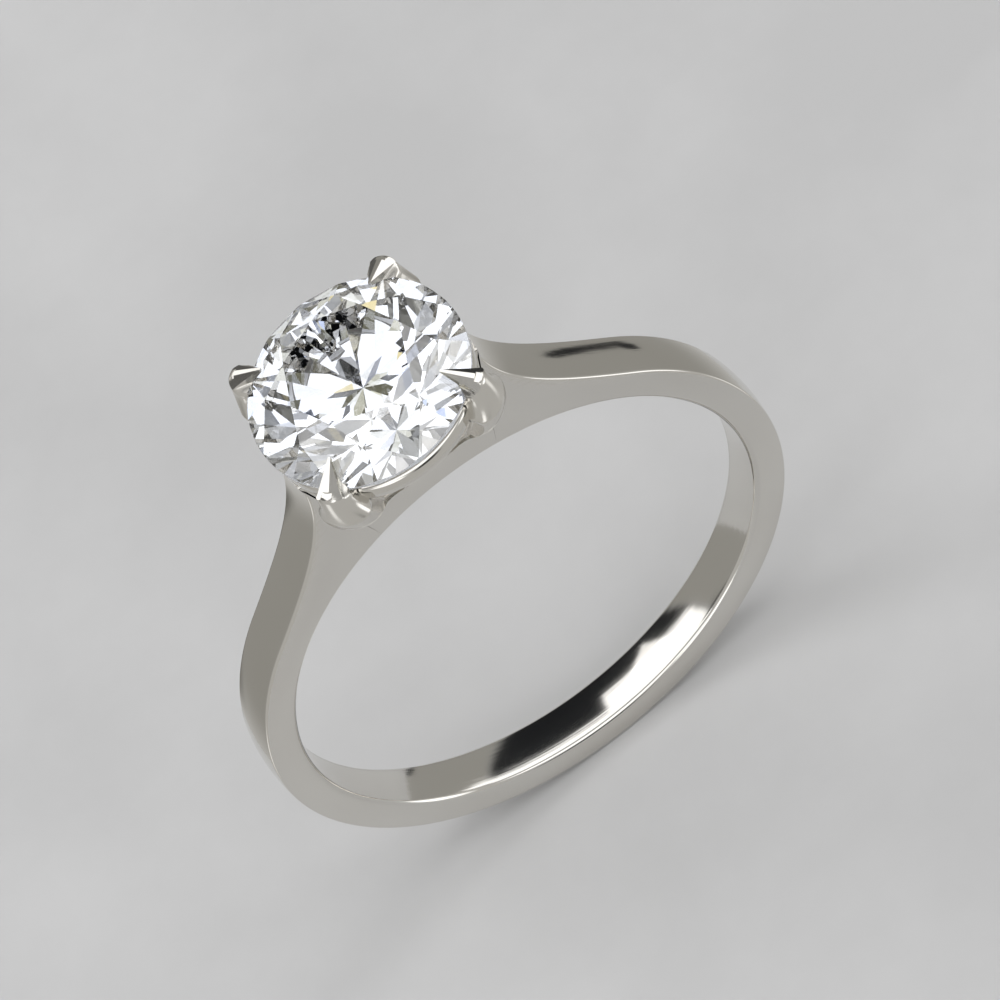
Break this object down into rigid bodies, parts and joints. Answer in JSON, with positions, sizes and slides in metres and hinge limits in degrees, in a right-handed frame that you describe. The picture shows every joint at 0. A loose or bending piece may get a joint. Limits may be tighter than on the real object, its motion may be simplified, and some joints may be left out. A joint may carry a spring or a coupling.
{
  "type": "engagement ring",
  "caption": "Solitaire ring with a cathedral shank, a claw tulip head with a gallery rail, and a round brilliant stone.",
  "frame": {"origin": "centre of the finger hole", "axes": "+Y along the finger hole, +Z from the hole's centre towards the stone, +X across the ring"},
  "size_m": [0.019, 0.0068, 0.0242],
  "materials": {
    "white_metal": "mirror-polished platinum or white gold",
    "diamond": "polished colourless diamond"
  },
  "bodies": {
    "root": {"shank": "white_metal", "gallery_rail": "white_metal", "base_ring": "white_metal", "claw_front_left": "white_metal", "claw_front_right": "white_metal", "claw_back_left": "white_metal", "claw_back_right": "white_metal", "diamond": "diamond"}
  },
  "joints": []
}
